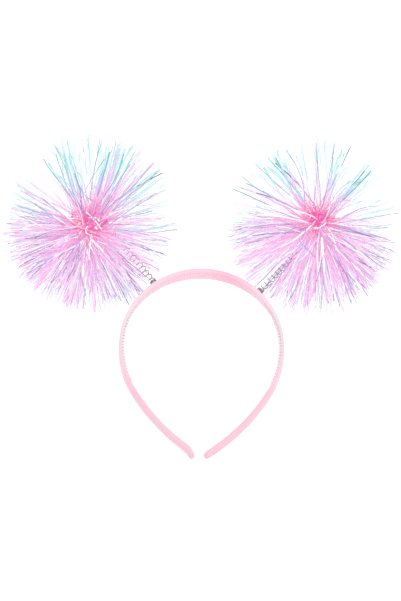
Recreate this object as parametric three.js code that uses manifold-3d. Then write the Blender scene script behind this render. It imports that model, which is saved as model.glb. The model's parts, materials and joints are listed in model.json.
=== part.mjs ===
// Headband with two tinsel pompoms on coil springs, lying on its side on a flat surface.
// Millimetres, +Z up from the surface. The crown of the band points to +Y and its open end to -Y.
// The pieces are shaped in the band's own upright frame (X across, Y from front to back, Z up to the
// crown, origin at the centre of the crown arc) and then leant back until tips and pompoms touch down.
import * as THREE from 'three';
import { mergeVertices } from 'three/addons/utils/BufferGeometryUtils.js';
import Module from 'manifold-3d';

const wasm = await Module();
wasm.setup();

// Band, measured along the middle of its outer face
const crownRadius = 65.2; // half of the 130 mm that the band is wide
const crownArcs = [
  { radius: crownRadius, turn: 90, steps: 15 }, // from the top down to the widest point
  { radius: 78.5, turn: 31, steps: 5 }, // side
];
const hookedArm = [
  { radius: 160, turn: 21, steps: 4 }, // closing towards the middle
  { radius: -40, turn: -6, steps: 1 },
  { radius: -13, turn: -18, steps: 2 }, // tip, flared outwards again
];
const straightArm = [
  { radius: 160, turn: 24.3, steps: 5 },
  { radius: -30, turn: -4, steps: 1 },
];
const tipRounding = [0.5, 0.8, 0.95, 1]; // stations along the rounded end, as shares of its length
const tipLength = 4;
const tipFlat = 0.12; // share of the breadth left flat at the very end
const crownBreadth = 16.5; // front to back, at the crown
const tipBreadth = 8.2; // front to back, before the rounded end
const coneDegrees = 4.7; // the band tapers like a slice of a cone, wider at its back edge
const bandThickness = 3.1;
const outerCrowning = 0.1; // how far the outer face stands proud along its middle
const edgeRadius = 0.45;
const innerEdge = 0.2; // chamfer along the inner edges
const edgeLimit = 0.4; // an edge takes no more than this share of the half breadth

// Comb teeth on the inner face
const toothPitch = 2.75;
const toothReach = 136; // how far the teeth run from the top of the crown, along the band
const toothRoot = 1.9;
const toothTip = 1.3;
const toothHeight = 1.3;
const ribHeight = 0.45; // teeth across the top of the crown are only low ribs
const ribReach = 40;
const fullToothFrom = 62;
const toothShare = 0.66; // breadth of a tooth over breadth of the band
const toothSink = 0.6; // root buried in the band

// Springs
const coilRadius = 2.5; // to the middle of the wire
const wireRadius = 0.35;
const wireSides = 5;
const stepsPerTurn = 10;
const coilDivisions = 4000; // for even steps along the wire
const closePitch = 0.95;
const closeTurns = 2.5; // at each end
const openPitch = 4.3;
const seatGap = 0.3; // between a spring and what it stands on or wraps
const postRadius = coilRadius - wireRadius - seatGap;
const postHeight = 3.2;
const collarRadius = 3.1; // low round seat at the foot of a post
const collarHeight = 1;
const roundSides = 10; // of posts, stems and bores

// Pompoms
const pompomReach = 69; // from the middle of the pompom to the ends of its strips
const headRadius = 12;
const headSides = 10;
const headRows = 7;
const stemLength = 3.2;
const boreSteps = 8; // along the way that is kept clear for a spring
const lockCount = 65;
const lockRoot = 6; // from the middle of the pompom
const lockMiddleShare = 0.55; // where a lock is most bowed, as a share of its length
const lockBase = { breadth: 3, depth: 1.8 };
const lockMiddle = { breadth: 7.4, depth: 1.8 };
const lockEnd = { breadth: 9, depth: 1.1 };
const lockShortest = 0.86; // of the reach
const lockBend = 5; // how far the middle of a lock bows aside
const coreHeight = 111.6; // of both pompom middles above the centre of the crown arc
const springClearance = 0.5;
const springConeDegrees = 17; // no lock grows within this angle of the spring

// Search for the lean at which it rests
const steepestLean = Math.PI / 4;
const leanRounds = 40;

const sides = [
  { name: 'left', arm: hookedArm, postDegrees: 124.8, coreX: -88.9, seed: 3 },
  { name: 'right', arm: straightArm, postDegrees: 46.3, coreX: 91.6, seed: 8 },
];

const plasticPink = new THREE.MeshStandardMaterial({ color: 0xfbc6db, roughness: 0.35, metalness: 0 });
const springSteel = new THREE.MeshStandardMaterial({ color: 0x77757c, roughness: 0.3, metalness: 1 });
const filmPink = new THREE.MeshStandardMaterial({ color: 0xec86cf, roughness: 0.2, metalness: 0.1 });

const backwards = new THREE.Vector3(0, 1, 0);
const upwards = new THREE.Vector3(0, 0, 1);
const weldDistance = 1e-4;
const flatness = 2e-3; // facets of the band that bend less than this are one

function solidOf(geometry) {
  const bare = geometry.clone();
  bare.deleteAttribute('normal');
  bare.deleteAttribute('uv');
  const merged = mergeVertices(bare, weldDistance);
  const corners = [];
  for (let i = 0; i < merged.index.count; i += 3) {
    const [a, b, c] = [0, 1, 2].map((k) => merged.index.getX(i + k));
    if (a !== b && b !== c && c !== a) corners.push(a, b, c);
  }
  return new wasm.Manifold(new wasm.Mesh({
    numProp: 3,
    vertProperties: new Float32Array(merged.attributes.position.array),
    triVerts: new Uint32Array(corners),
  }));
}

function geometryOf(solid) {
  const mesh = solid.getMesh();
  const geometry = new THREE.BufferGeometry();
  geometry.setAttribute('position', new THREE.BufferAttribute(mesh.vertProperties, 3));
  geometry.setIndex(new THREE.BufferAttribute(mesh.triVerts, 1));
  geometry.computeVertexNormals();
  return geometry;
}

// A closed skin through rings of points, each ring running the same way round, with flat ends
function loft(rings) {
  const count = rings[0].length;
  const points = rings.flat();
  const index = [];
  for (let ring = 0; ring + 1 < rings.length; ring++) {
    for (let k = 0; k < count; k++) {
      const a = ring * count + k;
      const b = ring * count + ((k + 1) % count);
      index.push(a, b, b + count, a, b + count, a + count);
    }
  }
  const last = (rings.length - 1) * count;
  for (let k = 1; k + 1 < count; k++) {
    index.push(0, k + 1, k);
    index.push(last, last + k, last + k + 1);
  }
  const geometry = new THREE.BufferGeometry().setFromPoints(points);
  geometry.setIndex(index);
  return geometry;
}

// Stations down one half of the band, from the top of the crown to the tip, as on the right
function halfBand(arm) {
  const stations = [];
  let heading = 0;
  let along = 0;
  let at = new THREE.Vector2(0, crownRadius);
  const inward = (angle) => new THREE.Vector2(Math.sin(angle), -Math.cos(angle));
  const add = (point, angle, distance) => {
    stations.push({ point, out: inward(angle).negate(), along: distance });
  };
  add(at, heading, along);
  for (const { radius, turn, steps } of [...crownArcs, ...arm]) {
    const centre = at.clone().addScaledVector(inward(heading), radius);
    const sweep = THREE.MathUtils.degToRad(turn);
    for (let k = 1; k <= steps; k++) {
      const angle = heading - (sweep * k) / steps;
      const point = centre.clone().addScaledVector(inward(angle), -radius);
      add(point, angle, along + (radius * sweep * k) / steps);
    }
    heading -= sweep;
    along += radius * sweep;
    at = stations.at(-1).point;
  }
  const bare = along;
  for (const station of stations) {
    station.breadth = THREE.MathUtils.lerp(crownBreadth, tipBreadth, station.along / bare);
  }
  const onwards = new THREE.Vector2(Math.cos(heading), Math.sin(heading));
  for (const share of tipRounding) {
    add(at.clone().addScaledVector(onwards, tipLength * share), heading, bare + tipLength * share);
    stations.at(-1).breadth = tipBreadth * Math.max(Math.sqrt(1 - share * share), tipFlat);
  }
  return stations;
}

function mirrored(station) {
  return {
    ...station,
    point: new THREE.Vector2(-station.point.x, station.point.y),
    out: new THREE.Vector2(-station.out.x, station.out.y),
    along: -station.along,
  };
}

// Section of the band as [depth below the outer face, distance from the middle]
function bandSection(breadth) {
  const half = breadth / 2;
  const edge = Math.min(edgeRadius, half * edgeLimit);
  const foot = Math.min(innerEdge, half * edgeLimit);
  return [
    [outerCrowning + edge, half],
    [outerCrowning, half - edge],
    [0, 0],
    [outerCrowning, edge - half],
    [outerCrowning + edge, -half],
    [bandThickness - foot, -half],
    [bandThickness, foot - half],
    [bandThickness, half - foot],
    [bandThickness - foot, half],
  ];
}

// A station's place and its directions out of the band's face and across it
function coneFrame({ point, out }) {
  const angle = THREE.MathUtils.degToRad(coneDegrees);
  const level = new THREE.Vector3(out.x, 0, out.y);
  return {
    place: new THREE.Vector3(point.x, 0, point.y),
    outwards: level.clone().multiplyScalar(Math.cos(angle)).addScaledVector(backwards, -Math.sin(angle)),
    across: level.multiplyScalar(Math.sin(angle)).addScaledVector(backwards, Math.cos(angle)),
  };
}

function bandRing(station) {
  const { place, outwards, across } = coneFrame(station);
  return bandSection(station.breadth).map(([depth, aside]) => (
    place.clone().addScaledVector(outwards, -depth).addScaledVector(across, aside)
  ));
}

function stationAt(stations, along) {
  const next = Math.max(1, stations.findIndex((station) => station.along >= along));
  const [a, b] = [stations[next - 1], stations[next]];
  const share = (along - a.along) / (b.along - a.along);
  return {
    point: a.point.clone().lerp(b.point, share),
    out: a.out.clone().lerp(b.out, share).normalize(),
    breadth: THREE.MathUtils.lerp(a.breadth, b.breadth, share),
  };
}

function toothSolid(stations, along) {
  const station = stationAt(stations, along);
  const { place, outwards, across } = coneFrame(station);
  const grown = THREE.MathUtils.smoothstep(Math.abs(along), ribReach, fullToothFrom);
  const height = THREE.MathUtils.lerp(ribHeight, toothHeight, grown);
  const profile = new THREE.Shape([
    new THREE.Vector2(-toothRoot / 2, -toothSink),
    new THREE.Vector2(toothRoot / 2, -toothSink),
    new THREE.Vector2(toothTip / 2, height),
    new THREE.Vector2(-toothTip / 2, height),
  ]);
  const depth = station.breadth * toothShare;
  const tooth = new THREE.ExtrudeGeometry(profile, { depth, bevelEnabled: false });
  const inwards = outwards.clone().negate();
  const sideways = new THREE.Vector3().crossVectors(inwards, across);
  const root = place.addScaledVector(inwards, bandThickness).addScaledVector(across, -depth / 2);
  const stance = new THREE.Matrix4().makeBasis(sideways, inwards, across).setPosition(root);
  return solidOf(tooth.applyMatrix4(stance));
}

function postFrame({ postDegrees }) {
  const angle = THREE.MathUtils.degToRad(postDegrees);
  const out = new THREE.Vector3(Math.cos(angle), 0, Math.sin(angle));
  return { out, foot: out.clone().multiplyScalar(crownRadius) };
}

// A round bar from the band's outer face outwards, with its root inside the band
function barSolid(side, radius, height) {
  const { out, foot } = postFrame(side);
  const root = bandThickness / 2;
  const bar = new THREE.CylinderGeometry(radius, radius, height + root, roundSides);
  bar.translate(0, (height - root) / 2, 0);
  bar.applyQuaternion(new THREE.Quaternion().setFromUnitVectors(backwards, out));
  return solidOf(bar.translate(foot.x, foot.y, foot.z));
}

function headband() {
  const [left, right] = sides.map(({ arm }) => halfBand(arm));
  const stations = [...left.slice(1).map(mirrored).reverse(), ...right];
  let solid = solidOf(loft(stations.map(bandRing)));
  const teeth = Math.floor(toothReach / toothPitch);
  for (let k = -teeth; k <= teeth; k++) {
    solid = solid.add(toothSolid(stations, k * toothPitch));
  }
  for (const side of sides) {
    solid = solid.add(barSolid(side, collarRadius, collarHeight));
    solid = solid.add(barSolid(side, postRadius, collarHeight + postHeight));
  }
  return geometryOf(solid.asOriginal().simplify(flatness));
}

// The line up the middle of a spring, from the band to a little above the pompom's head
function springLine(side, aboveHead = seatGap + wireRadius) {
  const { out, foot } = postFrame(side);
  const core = new THREE.Vector3(side.coreX, 0, coreHeight);
  const start = foot.clone().addScaledVector(out, collarHeight + seatGap + wireRadius);
  const bend = start.clone().addScaledVector(out, start.distanceTo(core) / 2);
  const arrival = core.clone().sub(bend).normalize();
  const end = core.clone().addScaledVector(arrival, -(headRadius + aboveHead));
  return { core, arrival, line: new THREE.QuadraticBezierCurve3(start, bend, end) };
}

// The wire of a coil spring wound about a line that stays in the plane of the band
class CoilCurve extends THREE.Curve {
  constructor(line) {
    super();
    this.line = line;
    this.length = line.getLength();
    const openLength = this.length - 2 * closeTurns * closePitch;
    this.turns = 2 * closeTurns + Math.round(openLength / openPitch);
    this.pitch = openLength / (this.turns - 2 * closeTurns);
    this.arcLengthDivisions = coilDivisions;
  }

  rise(turn) {
    const closeBelow = Math.min(turn, closeTurns);
    const closeAbove = Math.max(0, turn - (this.turns - closeTurns));
    const open = turn - closeBelow - closeAbove;
    return (closeBelow + closeAbove) * closePitch + open * this.pitch;
  }

  getPoint(t, target = new THREE.Vector3()) {
    const turn = t * this.turns;
    const share = Math.min(1, this.rise(turn) / this.length);
    const tangent = this.line.getTangentAt(share);
    const aside = new THREE.Vector3().crossVectors(tangent, backwards);
    const angle = turn * Math.PI * 2;
    return target.copy(this.line.getPointAt(share))
      .addScaledVector(aside, coilRadius * Math.cos(angle))
      .addScaledVector(backwards, coilRadius * Math.sin(angle));
  }
}

function roundShape(radius, sides) {
  const corners = Array.from({ length: sides }, (_, k) => (k * Math.PI * 2) / sides);
  return new THREE.Shape(corners.map((angle) => (
    new THREE.Vector2(radius * Math.cos(angle), radius * Math.sin(angle))
  )));
}

function spring(side) {
  const coil = new CoilCurve(springLine(side).line);
  return new THREE.ExtrudeGeometry(roundShape(wireRadius, wireSides), {
    steps: Math.round(coil.turns * stepsPerTurn),
    bevelEnabled: false,
    extrudePath: coil,
  });
}

// A repeatable number from 0 to 1 for the k-th lock
function chance(seed, k) {
  return THREE.MathUtils.seededRandom(seed * lockCount + k);
}

// Even directions over a ball, the first one straight down to the surface
function lockDirection(k) {
  const height = -1 + (2 * k) / (lockCount - 1);
  const ring = Math.sqrt(Math.max(0, 1 - height * height));
  const turn = k * Math.PI * (3 - Math.sqrt(5));
  return new THREE.Vector3(ring * Math.cos(turn), ring * Math.sin(turn), height);
}

function lockSolid(direction, seed, k) {
  const isFoot = k === 0; // this one reaches the surface
  const share = isFoot ? 1 : THREE.MathUtils.lerp(lockShortest, 1, chance(seed, k));
  const length = pompomReach * share;
  const bend = isFoot ? 0 : lockBend * (2 * chance(seed + 1, k) - 1);
  const turn = Math.PI * chance(seed + 2, k);
  const aim = new THREE.Quaternion().setFromUnitVectors(upwards, direction);
  const across = new THREE.Vector3(Math.cos(turn), Math.sin(turn), 0).applyQuaternion(aim);
  const flat = new THREE.Vector3().crossVectors(direction, across);
  const ring = (distance, aside, { breadth, depth }) => {
    const middle = direction.clone().multiplyScalar(distance).addScaledVector(flat, aside);
    return [[1, 1], [-1, 1], [-1, -1], [1, -1]].map(([p, q]) => (
      middle.clone().addScaledVector(across, (p * breadth) / 2).addScaledVector(flat, (q * depth) / 2)
    ));
  };
  return solidOf(loft([
    ring(lockRoot, 0, lockBase),
    ring(length * lockMiddleShare, bend, lockMiddle),
    ring(length, bend / 2, lockEnd),
  ]));
}

function pompom(side, surfaceToBand) {
  const { core, arrival, line } = springLine(side, seatGap / 2);
  const home = core.clone().negate();
  let solid = solidOf(new THREE.SphereGeometry(headRadius, headSides, headRows));
  for (let k = 0; k < lockCount; k++) {
    const direction = lockDirection(k).applyQuaternion(surfaceToBand);
    const fromSpring = direction.angleTo(arrival.clone().negate());
    if (fromSpring > THREE.MathUtils.degToRad(springConeDegrees)) {
      solid = solid.add(lockSolid(direction, side.seed, k));
    }
  }
  const boreShape = roundShape(coilRadius + wireRadius + springClearance, roundSides);
  const bore = new THREE.ExtrudeGeometry(boreShape, {
    steps: boreSteps,
    bevelEnabled: false,
    extrudePath: line,
  });
  const stem = new THREE.CylinderGeometry(postRadius, postRadius, headRadius + stemLength, roundSides);
  stem.translate(0, (headRadius + stemLength) / 2, 0);
  stem.applyQuaternion(new THREE.Quaternion().setFromUnitVectors(backwards, arrival.clone().negate()));
  solid = solid.subtract(solidOf(bore.translate(home.x, home.y, home.z))).add(solidOf(stem));
  return geometryOf(solid);
}

// How far the band leans up from the surface when its tips and both pompoms touch it
function leanAtRest(bandGeometry) {
  const place = bandGeometry.attributes.position;
  let [low, high] = [0, steepestLean];
  for (let round = 0; round < leanRounds; round++) {
    const lean = (low + high) / 2;
    let lowest = Infinity;
    for (let i = 0; i < place.count; i++) {
      lowest = Math.min(lowest, place.getZ(i) * Math.sin(lean) - place.getY(i) * Math.cos(lean));
    }
    if (coreHeight * Math.sin(lean) - lowest < pompomReach) low = lean;
    else high = lean;
  }
  return low;
}

function named(name, geometry, material) {
  const mesh = new THREE.Mesh(geometry, material);
  mesh.name = name;
  return mesh;
}

const band = headband();
const leaning = new THREE.Group();
leaning.rotation.x = leanAtRest(band) - Math.PI / 2;
const surfaceToBand = leaning.quaternion.clone().invert();

leaning.add(named('headband', band, plasticPink));
for (const side of sides) {
  const middle = springLine(side).core;
  const ball = named(`${side.name}_pompom`, pompom(side, surfaceToBand), filmPink);
  ball.position.copy(middle);
  leaning.add(named(`${side.name}_spring`, spring(side), springSteel), ball);
}

// The origin is on the surface, under the middle of the part's box
const part = new THREE.Group();
part.add(leaning);
const box = new THREE.Box3().setFromObject(part, true);
const centre = box.getCenter(new THREE.Vector3());
leaning.position.set(-centre.x, -centre.y, -box.min.z);

export default part;
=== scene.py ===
import json
import math

import bpy
import numpy as np
from mathutils import Matrix, Vector


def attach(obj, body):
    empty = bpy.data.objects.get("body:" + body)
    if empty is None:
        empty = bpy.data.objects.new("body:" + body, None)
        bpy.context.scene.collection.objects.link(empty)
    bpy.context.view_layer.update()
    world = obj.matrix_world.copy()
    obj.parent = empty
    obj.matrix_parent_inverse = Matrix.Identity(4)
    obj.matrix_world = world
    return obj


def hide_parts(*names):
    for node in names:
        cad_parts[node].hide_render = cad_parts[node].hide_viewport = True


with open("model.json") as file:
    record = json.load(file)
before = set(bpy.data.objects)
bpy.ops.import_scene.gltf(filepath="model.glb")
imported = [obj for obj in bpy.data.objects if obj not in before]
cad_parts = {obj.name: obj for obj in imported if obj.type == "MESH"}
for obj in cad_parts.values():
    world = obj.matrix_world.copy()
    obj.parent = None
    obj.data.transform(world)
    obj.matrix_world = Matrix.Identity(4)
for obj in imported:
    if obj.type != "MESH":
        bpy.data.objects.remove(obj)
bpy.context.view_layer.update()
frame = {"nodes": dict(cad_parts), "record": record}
print("frame loaded with", len(frame["nodes"]), "nodes")

mm = 0.001
imageSize = (401, 601)


def linear(hexColour):  # sRGB hex to the linear colour that Blender works in
    parts = [int(hexColour[i:i + 2], 16) / 255 for i in (1, 3, 5)]
    return [p / 12.92 if p <= 0.04045 else ((p + 0.055) / 1.055) ** 2.4 for p in parts] + [1.0]


def addNode(material, kind, inputs=None, **settings):
    node = material.node_tree.nodes.new(kind)
    for name, value in settings.items():
        setattr(node, name, value)
    for name, value in (inputs or {}).items():
        if isinstance(value, bpy.types.NodeSocket):
            material.node_tree.links.new(value, node.inputs[name])
        else:
            node.inputs[name].default_value = value
    return node


def newMaterial(name):
    material = bpy.data.materials.new(name)
    material.use_nodes = True
    material.node_tree.nodes.clear()
    return material


def finishMaterial(material, shader):
    addNode(material, "ShaderNodeOutputMaterial", {"Surface": shader.outputs[0]})
    return material


def selectOnly(*objects):
    bpy.ops.object.select_all(action="DESELECT")
    for ob in objects:
        ob.select_set(True)
    bpy.context.view_layer.objects.active = objects[0]


def settle(ob, place):  # puts a piece in its place and leaves that place in its mesh
    ob.matrix_world = place
    selectOnly(ob)
    bpy.ops.object.transform_apply(location=True, rotation=True, scale=True)


def joined(name, pieces):
    selectOnly(*pieces)
    bpy.ops.object.join()
    pieces[0].name = name
    pieces[0].data.name = name
    return pieces[0]


# the band's own frame: x across, y from front to back, z up to the crown, from the crown's centre
band = {
    "crownRadius": 65.2, "thickness": 3.1, "crowning": 0.1,  # mm
    "crownBreadth": 16.5, "tipBreadth": 8.0, "cone": 4.7,  # mm, mm, degrees
    "edge": 0.3, "edgeSteps": 4, "faceShares": (0.6, 0.2, -0.2, -0.6),
    "arcs": [(65.2, 90, 40), (78.5, 31, 12)],  # radius, turn and steps of the crown and the sides
    "tipLength": 4, "tipShares": (0.3, 0.55, 0.75, 0.88, 0.96), "tipThinning": 0.7,
    "weld": 0.01, "smoothTo": 38,  # mm, degrees
    "seatRib": 0.45,  # height of the solid's rib, whose top carries the seat
}
sides = {
    "left": {
        "arm": [(160, 21, 14), (-40, -6, 3), (-13, -18, 6)],  # radius, turn and steps
        "post": 124.8, "core": (-88.9, 111.6), "knot": (-3.5, -9.5),  # degrees, mm, mm from the core
        "strips": 1700, "curls": 210, "curlSpread": 8.0,
        "thinSide": (0.2, 0.725, 0.66), "seed": 31,  # thinSide points where the strips are few
    },
    "right": {
        "arm": [(160, 24.3, 16), (-30, -4, 3)],
        "post": 46.3, "core": (91.6, 111.6), "knot": (3.5, -3.0),
        "strips": 1430, "curls": 130, "curlSpread": 6.5,
        "thinSide": (0.08, 0.737, 0.67), "seed": 83,
    },
}
cone = math.radians(band["cone"])
seat = frame["record"]["mounts"][0]
across = Vector((1, 0, 0))
level = Vector((0, 1, 0))
seatOut = -Vector(seat["axis"]).normalized()  # square to the crown's face
crownUp = seatOut * math.cos(cone) + seatOut.cross(across) * math.sin(cone)
bandToRow = Matrix((across, crownUp.cross(across), crownUp)).transposed().to_4x4()
bandToRow.translation = (Vector(seat["pos_m"]) + seatOut * (band["thickness"] + band["seatRib"]) * mm
                         - crownUp * band["crownRadius"] * mm)

# camera at the photograph's angle, turned from square on to the band
shot = {
    "azimuth": -1.43, "elevation": -25.0,  # degrees
    "distance": 1300.0, "mmPerPixel": 0.7877,
    "centrePixel": (201.62, 346.26),  # where the crown's centre lies in the picture
    "sensor": 36, "farthest": 20,  # mm, m
}
azimuth, elevation = math.radians(shot["azimuth"]), math.radians(shot["elevation"])
back = bandToRow.to_3x3() @ Vector((
    math.sin(azimuth) * math.cos(elevation),
    -math.cos(azimuth) * math.cos(elevation),
    math.sin(elevation),
))
right = bandToRow.to_3x3() @ Vector((math.cos(azimuth), math.sin(azimuth), 0))
up = back.cross(right)
aside = (shot["centrePixel"][0] - imageSize[0] / 2) * shot["mmPerPixel"]
below = (shot["centrePixel"][1] - imageSize[1] / 2) * shot["mmPerPixel"]
bpy.ops.object.camera_add()
camera = bpy.context.object
camera.data.sensor_width = shot["sensor"]
camera.data.lens = shot["sensor"] * shot["distance"] / (imageSize[1] * shot["mmPerPixel"])
camera.data.clip_end = shot["farthest"]
camera.matrix_world = Matrix((right, up, back)).transposed().to_4x4()
camera.location = bandToRow.translation + (back * shot["distance"] - right * aside + up * below) * mm
bpy.context.scene.camera = camera
print("camera set at elevation", round(math.degrees(math.asin(back.z)), 1))


def bandStation(along):  # middle of the outer face, its outward direction and the breadth there, in mm
    heading = 0.0
    point = Vector((0, 0, band["crownRadius"]))
    arcs = band["arcs"] + sides["left" if along < 0 else "right"]["arm"]
    total = sum(radius * math.radians(turn) for radius, turn, _ in arcs)
    narrowing = (band["tipBreadth"] - band["crownBreadth"]) * min(1, abs(along) / total)
    rest = abs(along)
    for radius, turn, _ in arcs:
        inward = Vector((math.sin(heading), 0, -math.cos(heading)))
        centre = point + inward * radius
        used = min(rest, radius * math.radians(turn))
        heading -= used / radius
        point = centre - Vector((math.sin(heading), 0, -math.cos(heading))) * radius
        rest -= used
    outward = Vector((-math.sin(heading), 0, math.cos(heading)))
    point += Vector((math.cos(heading), 0, math.sin(heading))) * rest
    if along < 0:
        point.x, outward.x = -point.x, -outward.x
    return point, outward, band["crownBreadth"] + narrowing


teeth = {
    "pitch": 2.75, "reach": 136, "root": 1.9, "tip": 1.3, "height": 2.0,  # mm
    "ribHeight": 0.25, "ribReach": 52, "fullFrom": 100,  # low ribs near the crown, full teeth further on
    "slimming": 0.7, "slimFrom": 130, "slimTo": 146,  # the band is thinner under full teeth
    "breadthShare": 0.66, "topShare": 0.94, "sink": 0.6, "edge": 0.14, "edgeSteps": 2,
    "ribThroughLight": 0.05,  # how much painted light through thin plastic makes a rib paler, against 1 for a full tooth
}


def toothGrowth(along):  # 0 under the crown, where the teeth are low ribs, to 1 on the sides
    grown = (abs(along) - teeth["ribReach"]) / (teeth["fullFrom"] - teeth["ribReach"])
    grown = min(1, max(0, grown))
    return grown * grown * (3 - 2 * grown)


def bandThickness(along):
    ahead = (teeth["slimTo"] - abs(along)) / (teeth["slimTo"] - teeth["slimFrom"])
    return band["thickness"] - teeth["slimming"] * toothGrowth(along) * min(1, max(0, ahead))


def coneAxes(outward):  # square to the band's face, and across it from front to back
    face = outward * math.cos(cone) - level * math.sin(cone)
    return face, outward * math.sin(cone) + level * math.cos(cone)


def bandSection():  # a flat bar with soft edges and a slightly crowned outer face, as heights and widths
    half, deep, edge = band["crownBreadth"] / 2, band["thickness"] / 2, band["edge"]
    section = []
    for corner in range(4):
        cornerHigh = (deep - edge) * (1 if corner < 2 else -1)
        cornerWide = (half - edge) * (1 if corner in (0, 3) else -1)
        for step in range(band["edgeSteps"] + 1):
            angle = math.radians(90 * (corner + step / band["edgeSteps"]))
            section.append((cornerHigh + edge * math.sin(angle), cornerWide + edge * math.cos(angle)))
        if corner == 0:
            section += [(deep, half * share) for share in band["faceShares"]]
        if corner == 2:
            section += [(-deep, -half * share) for share in band["faceShares"]]
    return [(high - band["crowning"] * (wide / half) ** 2 * (high > 0), wide) for high, wide in section]


def sweptHalf(sign):  # half of the band, from the crown to the tip at +x (sign 1) or -x (sign -1)
    arcs = band["arcs"] + sides["left" if sign < 0 else "right"]["arm"]
    section = bandSection()
    bpy.ops.object.select_all(action="DESELECT")
    bpy.ops.mesh.primitive_circle_add(vertices=len(section), radius=mm)
    hoop = bpy.context.object
    deep = band["thickness"] / 2
    face, breadthways = coneAxes(Vector((0, 0, 1)))
    for vertex, (high, wide) in zip(hoop.data.vertices, section):
        vertex.co = (Vector((0, 0, band["crownRadius"])) + face * (high - deep) + breadthways * wide) * mm
    bpy.ops.object.mode_set(mode="EDIT")
    bpy.ops.mesh.select_all(action="SELECT")
    stations, bare = [0.0], 0.0
    for radius, turn, steps in arcs:  # each stretch is spun about its own centre
        point, outward, _ = bandStation(sign * bare)
        centre = Vector((sign * (point.x - outward.x * radius), 0, point.z - outward.z * radius)) * mm
        bpy.ops.mesh.spin(steps=steps, angle=-math.radians(turn), center=centre, axis=(0, 1, 0))
        length = radius * math.radians(turn)
        stations += [bare + length * (k + 1) / steps for k in range(steps)]
        bare += length
    outward = bandStation(sign * bare)[1]
    onwards = Vector((outward.z, 0, -sign * outward.x))
    gone = 0.0
    for share in band["tipShares"]:
        step = onwards * (share - gone) * band["tipLength"] * mm
        bpy.ops.mesh.extrude_edges_move(TRANSFORM_OT_translate={"value": step})
        stations.append(bare + share * band["tipLength"])
        gone = share
    bpy.ops.mesh.edge_face_add()
    bpy.ops.object.mode_set(mode="OBJECT")
    count = len(section)
    for ring, along in enumerate(stations):  # narrower towards the tips, which are round
        point, outward, breadth = bandStation(sign * along)
        point.x, outward.x = sign * point.x, sign * outward.x
        face, breadthways = coneAxes(outward)
        share = max(0, (along - bare) / band["tipLength"])
        narrower = breadth * math.sqrt(1 - share * share) / band["crownBreadth"] - 1
        thinner = math.sqrt(1 - (band["tipThinning"] * share) ** 2) - 1
        slimmer = bandThickness(along) / band["thickness"] - 1
        middle = (point - face * deep) * mm
        for vertex in hoop.data.vertices[ring * count:(ring + 1) * count]:
            offset = vertex.co - middle
            high = offset.dot(face)
            vertex.co += face * (high * thinner + (high - deep * mm) * slimmer)
            vertex.co += breadthways * offset.dot(breadthways) * narrower
    hoop.scale.x = sign
    bpy.ops.object.transform_apply(location=False, rotation=False, scale=True)
    return hoop


def sweptBand():
    hoop = joined("hoop", [sweptHalf(1), sweptHalf(-1)])
    bpy.ops.object.mode_set(mode="EDIT")
    bpy.ops.mesh.select_all(action="SELECT")
    bpy.ops.mesh.remove_doubles(threshold=band["weld"] * mm)
    bpy.ops.object.mode_set(mode="OBJECT")
    return hoop


def combTooth():  # one full tooth at the crown's breadth, standing along z
    bpy.ops.object.select_all(action="DESELECT")
    bpy.ops.mesh.primitive_cube_add(size=1)
    tooth = bpy.context.object
    tooth.scale = Vector((teeth["root"], band["crownBreadth"] * teeth["breadthShare"], teeth["height"])) * mm
    bpy.ops.object.transform_apply(location=False, rotation=False, scale=True)
    bpy.ops.object.mode_set(mode="EDIT")
    bpy.ops.mesh.select_all(action="DESELECT")
    bpy.ops.object.mode_set(mode="OBJECT")
    for face in tooth.data.polygons:
        face.select = face.normal.z > 0.5  # the top
    bpy.ops.object.mode_set(mode="EDIT")
    bpy.ops.transform.resize(value=(teeth["tip"] / teeth["root"], teeth["topShare"], 1))
    bpy.ops.mesh.select_all(action="SELECT")
    bpy.ops.mesh.bevel(offset=teeth["edge"] * mm, segments=teeth["edgeSteps"])
    bpy.ops.object.mode_set(mode="OBJECT")
    tooth.data.attributes.new("paintedThroughLight", "FLOAT", "POINT")
    return tooth


def combTeeth():
    pattern = combTooth()
    made = []
    count = int(teeth["reach"] / teeth["pitch"])
    for k in range(-count, count + 1):
        along = k * teeth["pitch"]
        point, outward, breadth = bandStation(along)
        grown = toothGrowth(along)
        height = teeth["ribHeight"] + (teeth["height"] - teeth["ribHeight"]) * grown
        tall = (height + teeth["sink"]) / teeth["height"]
        face, breadthways = coneAxes(outward)
        middle = point - face * (bandThickness(along) + (height - teeth["sink"]) / 2)
        turn = Matrix((face.cross(breadthways), breadthways, -face)).transposed().to_4x4()
        tooth = pattern.copy()
        tooth.data = pattern.data.copy()
        # painted light: the full teeth are painted paler, as if lit through the thin plastic
        throughLight = teeth["ribThroughLight"] + (1 - teeth["ribThroughLight"]) * grown
        paintedThroughLight = np.full(len(tooth.data.vertices), throughLight)
        tooth.data.attributes["paintedThroughLight"].data.foreach_set("value", paintedThroughLight)
        bpy.context.collection.objects.link(tooth)
        size = Matrix.Diagonal((1, breadth / band["crownBreadth"], tall, 1))
        settle(tooth, Matrix.Translation(middle * mm) @ turn @ size)
        made.append(tooth)
    bpy.data.objects.remove(pattern)
    return made


post = {
    "collarRadius": 3.1, "collarHeight": 1.0, "radius": 1.85, "height": 4.2,  # mm
    "edge": 0.3, "edgeSteps": 4, "faces": 32,
}


def roundBar(radius, low, high):  # upright bar with a soft upper edge, in mm
    middle = (high + low) / 2 * mm
    bpy.ops.object.select_all(action="DESELECT")
    bpy.ops.mesh.primitive_cylinder_add(
        vertices=post["faces"], radius=radius * mm, depth=(high - low) * mm, location=(0, 0, middle))
    bar = bpy.context.object
    bpy.ops.object.transform_apply(location=True, rotation=False, scale=False)
    for edge in bar.data.edges:
        edge.select = all(bar.data.vertices[v].co.z > middle for v in edge.vertices)
    bpy.ops.object.mode_set(mode="EDIT")
    bpy.ops.mesh.select_mode(type="EDGE")
    bpy.ops.mesh.bevel(offset=post["edge"] * mm, segments=post["edgeSteps"])
    bpy.ops.mesh.select_mode(type="VERT")
    bpy.ops.object.mode_set(mode="OBJECT")
    return bar


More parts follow.
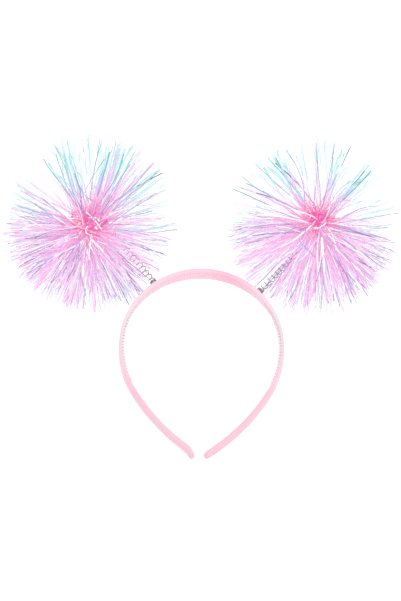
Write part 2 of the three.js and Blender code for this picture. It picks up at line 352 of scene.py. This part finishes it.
def postOutward(side):
    angle = math.radians(side["post"])
    return Vector((math.cos(angle), 0, math.sin(angle)))


def springPosts():
    made = []
    for side in sides.values():
        outward = postOutward(side)
        turn = Matrix((level.cross(outward), level, outward)).transposed().to_4x4()
        place = Matrix.Translation(outward * band["crownRadius"] * mm) @ turn
        for radius, high in ((post["collarRadius"], post["collarHeight"]), (post["radius"], post["height"])):
            bar = roundBar(radius, -band["thickness"] / 2, high)
            settle(bar, place)
            made.append(bar)
    return made


# pink polystyrene, moulded: soft gloss; painted shade and reflection make the arms and crown deeper pink and
# the sides and tips greyer, painted shade deepens the crown's right, and painted light makes the thin teeth
# near white
def mouldedPlastic():
    looks = {
        "stops": [  # from the tips up to the crown, with painted shade and reflection: greyer at the tips and sides
            (0.05, "#E5BBCA"), (0.3, "#EAB7CA"), (0.46, "#E6C2CF"),
            (0.6, "#DDCBD2"), (0.76, "#E4D0D9"), (0.95, "#EEC2D2"),
        ],
        "reach": (-125, 20), "streak": 55.0, "ripple": 5.0, "wander": 0.5,  # mm, mm, mm, share
        # thin: painted light, paler where light shines through the thin teeth
        "streakDetail": 3.0, "rippleDetail": 2.0, "thin": "#F8E4EC",
        "paintedShade": "#EFA6C3", "paintedShadeShare": 0.6,  # painted shade: deeper pink right of the crown
        "paintedShadeAcross": (0, 18), "paintedShadeUp": (2, 14),  # mm
        "roughness": (0.28, 0.42), "bump": 0.15, "bumpDepth": 0.1, "ior": 1.5, "specular": 0.3,
    }
    material = newMaterial("pink_moulded_plastic")
    place = addNode(material, "ShaderNodeTexCoord")
    spot = addNode(material, "ShaderNodeSeparateXYZ", {"Vector": place.outputs["Object"]})
    along = addNode(material, "ShaderNodeMapRange", {
        "Value": spot.outputs["Y"], "From Min": looks["reach"][0] * mm, "From Max": looks["reach"][1] * mm,
        "To Min": -looks["wander"] / 2, "To Max": 1 - looks["wander"] / 2})
    flow = addNode(material, "ShaderNodeTexNoise", {
        "Vector": place.outputs["Object"], "Scale": 1 / (looks["streak"] * mm),
        "Detail": looks["streakDetail"]})
    wander = addNode(material, "ShaderNodeMath", {
        0: flow.outputs["Fac"], 1: looks["wander"], 2: along.outputs["Result"]}, operation="MULTIPLY_ADD")
    # painted shade and reflection along the band: greyer at the tips and sides, deeper pink on the arms and
    # crown
    tint = addNode(material, "ShaderNodeValToRGB", {"Fac": wander.outputs["Value"]})
    for k, (position, colour) in enumerate(looks["stops"]):
        stop = tint.color_ramp.elements[k] if k < 2 else tint.color_ramp.elements.new(position)
        stop.position, stop.color = position, linear(colour)
    rightwards = addNode(material, "ShaderNodeMapRange", {
        "Value": spot.outputs["X"], "From Min": looks["paintedShadeAcross"][0] * mm,
        "From Max": looks["paintedShadeAcross"][1] * mm, "To Max": looks["paintedShadeShare"]})
    crownwards = addNode(material, "ShaderNodeMapRange", {
        "Value": spot.outputs["Y"], "From Min": looks["paintedShadeUp"][0] * mm,
        "From Max": looks["paintedShadeUp"][1] * mm})
    # painted shade: deeper pink right of the crown
    paintedShade = addNode(material, "ShaderNodeMath", {
        0: rightwards.outputs["Result"], 1: crownwards.outputs["Result"]}, operation="MULTIPLY")
    shadePainted = addNode(material, "ShaderNodeMixRGB", {
        "Fac": paintedShade.outputs["Value"], "Color1": tint.outputs["Color"], "Color2": linear(looks["paintedShade"])})
    # painted light: paler where light would shine through the thin teeth
    thin = addNode(material, "ShaderNodeAttribute", attribute_name="paintedThroughLight")
    colour = addNode(material, "ShaderNodeMixRGB", {
        "Fac": thin.outputs["Fac"], "Color1": shadePainted.outputs["Color"], "Color2": linear(looks["thin"])})
    ripple = addNode(material, "ShaderNodeTexNoise", {
        "Vector": place.outputs["Object"], "Scale": 1 / (looks["ripple"] * mm),
        "Detail": looks["rippleDetail"]})
    gloss = addNode(material, "ShaderNodeMapRange", {
        "Value": ripple.outputs["Fac"], "To Min": looks["roughness"][0], "To Max": looks["roughness"][1]})
    bump = addNode(material, "ShaderNodeBump", {
        "Height": ripple.outputs["Fac"], "Strength": looks["bump"], "Distance": looks["bumpDepth"] * mm})
    shader = addNode(material, "ShaderNodeBsdfPrincipled", {
        "Base Color": colour.outputs["Color"], "Roughness": gloss.outputs["Result"],
        "Normal": bump.outputs["Normal"], "IOR": looks["ior"], "Specular IOR Level": looks["specular"]})
    return finishMaterial(material, shader)


headband = joined("headband_moulding", [sweptBand()] + combTeeth() + springPosts())
settle(headband, bandToRow)
selectOnly(headband)
bpy.ops.object.mode_set(mode="EDIT")
bpy.ops.mesh.select_all(action="SELECT")
bpy.ops.mesh.normals_make_consistent(inside=False)
bpy.ops.object.mode_set(mode="OBJECT")
bpy.ops.object.shade_smooth_by_angle(angle=math.radians(band["smoothTo"]))
headband.data.materials.append(mouldedPlastic())
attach(headband, "root")
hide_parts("headband")
print("band swept, toothed and posted")


coil = {
    "radius": 2.5, "wire": 0.3, "closePitch": 0.95, "closeTurns": 2.5, "openPitch": 4.3,  # mm and turns
    "lineSteps": 400, "stepsPerTurn": 28, "wireSteps": 2, "smoothTo": 50,
    "seatGap": 0.3, "headRadius": 12,
}


def springLine(side):  # start, bend and end of the line up the middle of a spring
    core = Vector((side["core"][0], 0, side["core"][1]))
    outward = postOutward(side)
    lift = post["collarHeight"] + coil["seatGap"] + coil["wire"]
    start = outward * (band["crownRadius"] + lift)
    bend = start + outward * (core - start).length / 2
    arrival = (core - bend).normalized()
    end = core - arrival * (coil["headRadius"] + coil["seatGap"] + coil["wire"])
    return start, bend, end


def drawnWire():  # bright drawn steel wire: dark between its highlights, with fine lines from the die
    looks = {
        "colour": "#98959B", "roughness": (0.18, 0.36),
        "line": 0.6, "detail": 2.0,  # line in mm, coarser than real so that it shows
    }
    material = newMaterial("drawn_steel_wire")
    place = addNode(material, "ShaderNodeTexCoord")
    lines = addNode(material, "ShaderNodeTexNoise", {
        "Vector": place.outputs["Object"], "Scale": 1 / (looks["line"] * mm),
        "Detail": looks["detail"]})
    rough = addNode(material, "ShaderNodeMapRange", {
        "Value": lines.outputs["Fac"], "To Min": looks["roughness"][0], "To Max": looks["roughness"][1]})
    shader = addNode(material, "ShaderNodeBsdfPrincipled", {
        "Base Color": linear(looks["colour"]), "Metallic": 1.0, "Roughness": rough.outputs["Result"]})
    return finishMaterial(material, shader)


def coilPoints(side):
    start, bend, end = springLine(side)
    shares = np.linspace(0, 1, coil["lineSteps"] + 1)
    line = [start * (1 - t) ** 2 + bend * 2 * t * (1 - t) + end * t * t for t in shares]
    reach = np.concatenate([[0], np.cumsum([(b - a).length for a, b in zip(line, line[1:])])])
    openLength = reach[-1] - 2 * coil["closeTurns"] * coil["closePitch"]
    openTurns = round(openLength / coil["openPitch"])
    pitch = openLength / openTurns
    turns = openTurns + 2 * coil["closeTurns"]
    points = []
    for k in range(int(turns * coil["stepsPerTurn"]) + 1):
        turn = k / coil["stepsPerTurn"]
        low = min(turn, coil["closeTurns"])  # close turns so far, at the foot and at the head
        high = max(0, turn - (turns - coil["closeTurns"]))
        rise = min(reach[-1], (low + high) * coil["closePitch"] + (turn - low - high) * pitch)
        at = min(coil["lineSteps"] - 1, int(np.searchsorted(reach, rise, side="right")) - 1)
        share = (rise - reach[at]) / (reach[at + 1] - reach[at])
        middle = line[at].lerp(line[at + 1], share)
        outward = (line[at + 1] - line[at]).normalized().cross(level)
        angle = turn * 2 * math.pi
        points.append(middle + outward * coil["radius"] * math.cos(angle)
                      + level * coil["radius"] * math.sin(angle))
    return np.array(points)


def coilSpring(name, side, steel):
    points = coilPoints(side)
    bpy.ops.object.select_all(action="DESELECT")
    bpy.ops.curve.primitive_nurbs_path_add()
    wire = bpy.context.object
    wire.data.splines.clear()
    spline = wire.data.splines.new("POLY")
    spline.points.add(len(points) - 1)
    spline.points.foreach_set("co", np.hstack([points * mm, np.ones((len(points), 1))]).ravel())
    wire.data.bevel_depth = coil["wire"] * mm
    wire.data.bevel_resolution = coil["wireSteps"]
    wire.data.use_fill_caps = True
    bpy.ops.object.convert(target="MESH")
    wire = bpy.context.object
    wire.name = name
    settle(wire, bandToRow)
    bpy.ops.object.shade_smooth_by_angle(angle=math.radians(coil["smoothTo"]))
    wire.data.materials.append(steel)
    return wire


steelWire = drawnWire()
for sideName, side in sides.items():
    wire = coilSpring(sideName + "_coil_spring", side, steelWire)
    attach(wire, "root")
    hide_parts(sideName + "_spring")
print("springs wound")


film = {
    "segments": 9, "reach": 72, "shortest": 0.84, "evenness": 0.7, "longer": 0.08,
    "widths": (0.45, 1.2), "thickness": 0.05, "rootSpread": 8.0,  # mm
    "clumps": 120, "clumpShare": 0.3, "clumpSpread": 0.08,  # bundles of strips, spread in radians
    "bow": 5.0, "sway": 0.8, "crinkle": 0.12, "crinkleGrowth": 3, "droop": 2.0,
    "twist": 4.5, "sparseTwist": 0.3,
    "springCone": 17, "floorGap": 0.4, "floorLayers": 2.2,  # degrees, mm, mm
    "thinShare": 0.12, "bundleShare": 1.6, "thinFrom": -0.7, "thinSpan": 0.9,  # fewer away from the band
    "sparseFrom": 0.2, "sparseWidening": 1.4,  # past this the strips are few and lie flatter and broader
    "facing": 0.82, "facingShare": 0.4,  # fewer strips point at the eye or away from it, so the middle shows
    "tintStops": (0.1, 0.28, 0.47, 0.8, 1), "tintShift": 0.1,
    "opacityStops": (0, 0.12, 0.4, 0.75, 1), "opacity": (0.5, 0.36, 0.28, 0.42, 0.55),
    "opacityRange": (0.6, 1.4), "flicker": 0.45,
}
# painted shade: fine dark strips stand for strips seen edge-on
edgeOnShadeStrip = {"share": 0.16, "widths": (0.4, 0.7), "sparseWidening": 1.6, "opacity": 0.8, "inkShare": 0.15}
# painted highlight: white strips stand for strips that catch the light
highlightStrip = {"share": 0.14, "opacity": (0.5, 0.9)}
glint = {  # painted highlight: white strips over the lower front, standing for strips that face the light
    "count": 9, "forward": (0.3, 0.7), "downward": (0.5, 1), "aside": 0.5, "lift": 10, "bow": 1.0,
    "start": (10, 22), "reach": (34, 58), "widths": (1.5, 2.5), "opacity": 0.96,
}
curl = {  # crumpled middle, where all the strips are tied; its white glint curls are painted highlights
    "tints": ["hot", "hot", "hot", "hot", "coral", "rose", "glint"],
    "lift": 2.5, "bow": 2, "widths": (0.7, 1.7), "opacity": 0.9,
}
overSpring = {  # short strips in front of a spring
    "count": 64, "angles": (9, 26), "reach": (30, 50), "aside": 0.7, "lift": 4, "bow": 1.0,
    "tintStops": (0.06, 0.2, 0.5, 0.75, 1), "opacity": 0.6,
}
tail = {"strips": 10, "reach": 15, "radius": 1.1, "twist": 2.5, "opacity": 0.85}  # in the end of the spring
evenStops = (0, 0.2, 0.5, 0.8, 1)
# glint is the white of the painted highlights
filmTints = {
    "hot": "#EE4CA2", "coral": "#FFA0A4", "rose": "#FF9ECB", "orchid": "#FFB2EA", "pink": "#FFD0EF",
    "mauve": "#F0B0F0", "lilac": "#EECAF3", "blueLilac": "#C4CBEF", "aqua": "#9ADCE6", "paleAqua": "#CDEFF3",
    "slate": "#8A93BC", "violet": "#B58CD0", "teal": "#5FB6CC", "ink": "#56628E", "glint": "#FFFFFF",
}
tintOf = {name: np.array(linear(value)[:3]) for name, value in filmTints.items()}
aquaEnds = {"share": 0.36, "slope": 0.8, "least": 0.06, "most": 0.9}  # more of them away from the band, where aqua stands for the coating's reflected colour: painted reflection
pinkRuns = [  # tints from the middle out
    ["hot", "rose", "rose", "orchid", "orchid"],
    ["coral", "coral", "orchid", "pink", "pink"],
    ["hot", "rose", "orchid", "pink", "lilac"],
    ["hot", "orchid", "mauve", "lilac", "blueLilac"],
    ["coral", "rose", "orchid", "mauve", "lilac"],
]
coralBelow = -0.2  # coral shows only on the lower strips


def clearOfSpring(d, towardsSpring):
    return d @ towardsSpring < math.cos(math.radians(film["springCone"]))


def freeDirection(rng, towardsSpring):
    while True:
        d = rng.normal(size=3)
        d /= np.linalg.norm(d)
        if clearOfSpring(d, towardsSpring):
            return d


def keptShare(d, thin, least):  # share of the strips that stay, down to the least on the thin side
    return 1 - (1 - least) * np.clip((d @ thin - film["thinFrom"]) / film["thinSpan"], 0, 1)


def stripDirections(rng, count, thin, towardsSpring, towardsEye):  # single strips and bundles, with hues
    kept, bundle = [], []
    while len(bundle) < film["clumps"]:
        d = freeDirection(rng, towardsSpring)
        if rng.random() < keptShare(d, thin, film["bundleShare"] * film["thinShare"]):
            bundle.append((d, rng.random()))
    while len(kept) < count:
        d = freeDirection(rng, towardsSpring)
        hue = rng.random()
        if rng.random() < film["clumpShare"]:
            d, hue = bundle[rng.integers(len(bundle))]
            d = d + rng.normal(size=3) * film["clumpSpread"]
            d /= np.linalg.norm(d)
        elif rng.random() > keptShare(d, thin, film["thinShare"]):
            continue
        if abs(d @ towardsEye) > film["facing"] and rng.random() > film["facingShare"]:
            continue
        if clearOfSpring(d, towardsSpring):
            kept.append((d, hue))
    return kept


def stripTints(away, hue, rng):  # hot pink where the strips meet, aqua or lilac towards their ends; aqua on the side away from the band is painted reflection
    if hue < np.clip(aquaEnds["share"] + aquaEnds["slope"] * away, aquaEnds["least"], aquaEnds["most"]):
        pairs = [("lilac", "blueLilac"), ("aqua", "paleAqua"), ("aqua", "paleAqua")]
        return ["hot", "rose"] + [one if rng.random() < 0.5 else other for one, other in pairs]
    names = pinkRuns[rng.integers(len(pinkRuns))]
    if away > coralBelow and names[0] == "coral":
        names = ["hot", "rose"] + names[2:]
    return names


def tinted(shares, stops, names, opacity):
    tints = np.array([tintOf[name] for name in names])
    channels = [np.interp(shares, stops, tints[:, c]) for c in range(3)]
    return np.stack(channels + [np.broadcast_to(opacity, shares.shape)], axis=1)


def looseLooks(d, hue, thin, shares, rng):  # breadth and colours of a strip: dark and fine as painted shade of an edge-on strip, white as a painted highlight, or tinted
    sparse = d @ thin > film["sparseFrom"]
    stops = list(film["tintStops"])
    stops[2] += film["tintShift"] * rng.random()
    if rng.random() < edgeOnShadeStrip["share"]:
        ends = "ink" if rng.random() < edgeOnShadeStrip["inkShare"] else "teal" if sparse else "slate"
        wide = rng.uniform(*edgeOnShadeStrip["widths"]) * (edgeOnShadeStrip["sparseWidening"] if sparse else 1)
        names = ["hot", "violet", "violet", ends, ends]
        opacity = edgeOnShadeStrip["opacity"]
    elif rng.random() < highlightStrip["share"]:
        wide = rng.uniform(*film["widths"])
        names = ["pink"] + ["glint"] * 4
        opacity = rng.uniform(*highlightStrip["opacity"])
    else:
        wide = rng.uniform(*film["widths"]) * (film["sparseWidening"] if sparse else 1)
        names = stripTints(d @ thin, hue, rng)
        opacity = np.interp(shares, film["opacityStops"], film["opacity"])
        opacity = opacity * rng.uniform(*film["opacityRange"])
        opacity = opacity * (1 + film["flicker"] * rng.uniform(-1, 1, len(shares)))
    return wide, tinted(shares, stops, names, opacity)


class StripMesh:
    def __init__(self):
        self.places, self.colours, self.edges, self.faces = [], [], [], []

    def add(self, line, facing, wide, colours):  # a closed flat strip along a line, colours with opacity
        tangent = np.gradient(line, axis=0)
        tangent /= np.linalg.norm(tangent, axis=1, keepdims=True)
        flat = facing - tangent * np.sum(facing * tangent, axis=1, keepdims=True)
        flat /= np.linalg.norm(flat, axis=1, keepdims=True)
        normal = np.cross(tangent, flat)
        thick = film["thickness"] / 2
        rings = len(line)
        base = sum(len(p) for p in self.places)
        around = ((1, 1), (-1, 1), (-1, -1), (1, -1))
        corners = [line + flat * wide / 2 * p + normal * thick * q for p, q in around]
        self.places.append(np.stack(corners, axis=1).reshape(-1, 3))
        self.colours.append(np.repeat(colours, 4, axis=0))
        self.edges.append(np.tile([1.0, -1.0, -1.0, 1.0], rings))
        for ring in range(rings - 1):
            for c in range(4):
                a, b = base + ring * 4 + c, base + ring * 4 + (c + 1) % 4
                self.faces.append((a, b, b + 4, a + 4))
        last = base + (rings - 1) * 4
        self.faces.append((base + 3, base + 2, base + 1, base))
        self.faces.append((last, last + 1, last + 2, last + 3))

    def finish(self, name):
        mesh = bpy.data.meshes.new(name)
        mesh.from_pydata((np.concatenate(self.places) * mm).tolist(), [], self.faces)
        tint = mesh.color_attributes.new("filmTint", "FLOAT_COLOR", "POINT")
        tint.data.foreach_set("color", np.concatenate(self.colours).ravel())
        edge = mesh.attributes.new("stripEdge", "FLOAT", "POINT")
        edge.data.foreach_set("value", np.concatenate(self.edges))
        strips = bpy.data.objects.new(name, mesh)
        bpy.context.collection.objects.link(strips)
        return strips


def sideways(d):  # two directions square to d
    helper = np.array([1.0, 0, 0]) if abs(d[0]) < 0.8 else np.array([0, 1.0, 0])  # not along d
    first = np.cross(d, helper)
    first /= np.linalg.norm(first)
    return first, np.cross(d, first)


def filmPompom(name, side, core, knot, towardsSpring, towardsEye, rng):
    strips = StripMesh()
    thin = np.array(side["thinSide"])
    shares = np.linspace(0, 1, film["segments"] + 1)

    def strand(d, start, length, wide, colours, bow):
        first, second = sideways(d)
        turn = rng.random() * 2 * math.pi
        aside = first * math.cos(turn) + second * math.sin(turn)
        sway = np.cross(d, aside) * rng.normal() * film["sway"] * np.sin(2 * np.pi * shares)[:, None]
        crinkle = rng.normal(size=(len(shares), 3)) * film["crinkle"]
        line = (start * (1 - shares[:, None]) + (core + d * length) * shares[:, None]
                + aside * bow * np.sin(np.pi * shares)[:, None]
                + sway * length / film["reach"]
                + crinkle * np.minimum(1, film["crinkleGrowth"] * shares)[:, None])
        line[:, 2] -= film["droop"] * shares ** 2 * (1 - abs(d[2])) * rng.random()
        line[:, 2] = np.maximum(line[:, 2], film["floorGap"] + film["floorLayers"] * rng.random())
        twist = film["twist"] * (film["sparseTwist"] if d @ thin > film["sparseFrom"] else 1)
        spin = rng.random() * math.pi + twist * (rng.random() - 0.5) * shares
        strips.add(line, first * np.cos(spin)[:, None] + second * np.sin(spin)[:, None], wide, colours)

    for d, hue in stripDirections(rng, side["strips"], thin, towardsSpring, towardsEye):
        length = film["shortest"] + (1 - film["shortest"]) * rng.random() ** film["evenness"]
        length *= film["reach"]
        length *= 1 + film["longer"] * max(0, -d @ thin)
        start = knot + rng.normal(size=3) * film["rootSpread"] / 2
        wide, colours = looseLooks(d, hue, thin, shares, rng)
        strand(d, start, length, wide, colours, film["bow"] * rng.normal() / 2)

    # painted highlight: white strips over the lower front
    for _ in range(glint["count"]):
        d = towardsEye * rng.uniform(*glint["forward"]) - thin * rng.uniform(*glint["downward"])
        d[0] += rng.normal() * glint["aside"]
        d /= np.linalg.norm(d)
        if clearOfSpring(d, towardsSpring):
            start = knot + d * rng.uniform(*glint["start"]) + towardsEye * glint["lift"]
            length = rng.uniform(*glint["reach"])
            wide = rng.uniform(*glint["widths"])
            colours = tinted(shares, evenStops, ["glint"] * 5, glint["opacity"])
            strand(d, start, length, wide, colours, glint["bow"])

    for _ in range(side["curls"]):
        names = [curl["tints"][rng.integers(len(curl["tints"]))]] * 5
        middle = knot + towardsEye * curl["lift"]
        d = middle + rng.normal(size=3) * side["curlSpread"] - core
        length = np.linalg.norm(d)
        start = middle + rng.normal(size=3) * side["curlSpread"]
        wide = rng.uniform(*curl["widths"])
        colours = tinted(shares, evenStops, names, curl["opacity"])
        strand(d / length, start, length, wide, colours, rng.normal() * curl["bow"])

    beside = np.cross(towardsSpring, towardsEye)
    for _ in range(overSpring["count"]):
        lean = math.radians(rng.uniform(*overSpring["angles"]))
        outward = towardsEye + beside * rng.normal() * overSpring["aside"]
        d = towardsSpring * math.cos(lean) + outward * math.sin(lean)
        d /= np.linalg.norm(d)
        length = rng.uniform(*overSpring["reach"])
        wide = rng.uniform(*film["widths"])
        names = stripTints(d @ thin, rng.random(), rng)
        colours = tinted(shares, overSpring["tintStops"], names, overSpring["opacity"])
        strand(d, knot + towardsEye * overSpring["lift"], length, wide, colours, overSpring["bow"])

    first, second = sideways(towardsSpring)
    for k in range(tail["strips"]):
        turn = k * 2 * math.pi / tail["strips"] + tail["twist"] * shares
        around = first * np.cos(turn)[:, None] + second * np.sin(turn)[:, None]
        inner = np.minimum(1, shares * 2)[:, None]  # from the knot to the core by half way
        line = knot * (1 - inner) + core * inner + towardsSpring * tail["reach"] * shares[:, None]
        colours = tinted(shares, evenStops, ["hot"] * 5, tail["opacity"])
        line = line + around * tail["radius"]
        strips.add(line, np.cross(towardsSpring, around), film["widths"][0], colours)
    return strips.finish(name)


# clear polyester film with an interference coating: see-through tints, sharp highlights, and painted shade
# that darkens the strips' edges
def iridescentFilm():
    looks = {
        "edge": "#9A93B8", "edgeFrom": 0.7, "edgeShare": 0.6, "edgeOpacity": 0.2,
        "clear": "#FFFFFF", "roughness": 0.18, "ior": 1.6,
        "coating": 420.0, "coatingIor": 1.45,  # coating in nm
    }
    material = newMaterial("iridescent_film")
    tint = addNode(material, "ShaderNodeVertexColor", layer_name="filmTint")
    place = addNode(material, "ShaderNodeAttribute", attribute_name="stripEdge")
    fromMiddle = addNode(material, "ShaderNodeMath", {0: place.outputs["Fac"]}, operation="ABSOLUTE")
    # painted shade: darker and denser towards each strip's edges
    edge = addNode(material, "ShaderNodeMapRange", {
        "Value": fromMiddle.outputs["Value"], "From Min": looks["edgeFrom"], "To Max": looks["edgeShare"]})
    colour = addNode(material, "ShaderNodeMixRGB", {
        "Fac": edge.outputs["Result"], "Color1": tint.outputs["Color"], "Color2": linear(looks["edge"])},
        blend_type="MULTIPLY")
    denser = addNode(material, "ShaderNodeMath", {
        0: edge.outputs["Result"], 1: looks["edgeOpacity"] / looks["edgeShare"], 2: tint.outputs["Alpha"]},
        operation="MULTIPLY_ADD", use_clamp=True)
    clear = addNode(material, "ShaderNodeBsdfTransparent", {"Color": linear(looks["clear"])})
    gloss = addNode(material, "ShaderNodeBsdfPrincipled", {
        "Base Color": colour.outputs["Color"], "Roughness": looks["roughness"], "IOR": looks["ior"],
        "Thin Film Thickness": looks["coating"], "Thin Film IOR": looks["coatingIor"]})
    shader = addNode(material, "ShaderNodeMixShader", {
        "Fac": denser.outputs["Value"], 1: clear.outputs["BSDF"], 2: gloss.outputs["BSDF"]})
    return finishMaterial(material, shader)


shinyFilm = iridescentFilm()
for sideName, side in sides.items():
    bend = springLine(side)[1]
    core = Vector((side["core"][0], 0, side["core"][1]))
    knot = core + Vector((side["knot"][0], 0, side["knot"][1]))
    rowCore = np.array(bandToRow @ (core * mm)) / mm
    rowKnot = np.array(bandToRow @ (knot * mm)) / mm
    rowSpring = np.array(bandToRow.to_3x3() @ -(core - bend).normalized())
    rng = np.random.default_rng(side["seed"])
    pompom = filmPompom(sideName + "_film_pompom", side, rowCore, rowKnot, rowSpring, np.array(back), rng)
    pompom.data.materials.append(shinyFilm)
    pompom.visible_shadow = pompom.visible_diffuse = False  # clear film hardly shades what lies behind it
    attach(pompom, "root")
    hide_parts(sideName + "_pompom")
print("pompoms made")


studio = {
    "floorSize": 8, "floorColour": "#F4F4F2", "floorRoughness": 0.9, "floorGlow": 0.2,  # size in m
    "light": "#FFFFFF", "skyStrength": 0.92,
    "keyPlace": (0.2, -0.5, 1.5), "keyPower": 8, "keySize": 1.0,  # m, W, m
    "filmLayers": 64, "bounces": 12, "diffuseBounces": 8,  # many layers of film lie behind each other
}


def paleFloor():  # matt white card, bright all over
    bpy.ops.object.select_all(action="DESELECT")
    bpy.ops.mesh.primitive_plane_add(size=studio["floorSize"])
    floor = bpy.context.object
    floor.name = "floor"
    material = newMaterial("pale_floor")
    shader = addNode(material, "ShaderNodeBsdfPrincipled", {
        "Base Color": linear(studio["floorColour"]), "Roughness": studio["floorRoughness"],
        "Emission Color": linear(studio["light"]), "Emission Strength": studio["floorGlow"]})
    floor.data.materials.append(finishMaterial(material, shader))


def softLight():
    scene = bpy.context.scene
    scene.world = bpy.data.worlds.new("studio")
    scene.world.use_nodes = True
    background = scene.world.node_tree.nodes["Background"]
    background.inputs["Color"].default_value = linear(studio["light"])
    background.inputs["Strength"].default_value = studio["skyStrength"]
    bpy.ops.object.light_add(type="AREA", location=studio["keyPlace"])
    key = bpy.context.object
    key.data.energy, key.data.size = studio["keyPower"], studio["keySize"]
    key.rotation_euler = (-key.location).to_track_quat("-Z", "Y").to_euler()
    scene.view_settings.view_transform = "Standard"
    scene.cycles.transparent_max_bounces = studio["filmLayers"]
    scene.cycles.max_bounces = studio["bounces"]
    scene.cycles.diffuse_bounces = studio["diffuseBounces"]


paleFloor()
softLight()
print("stage lit")
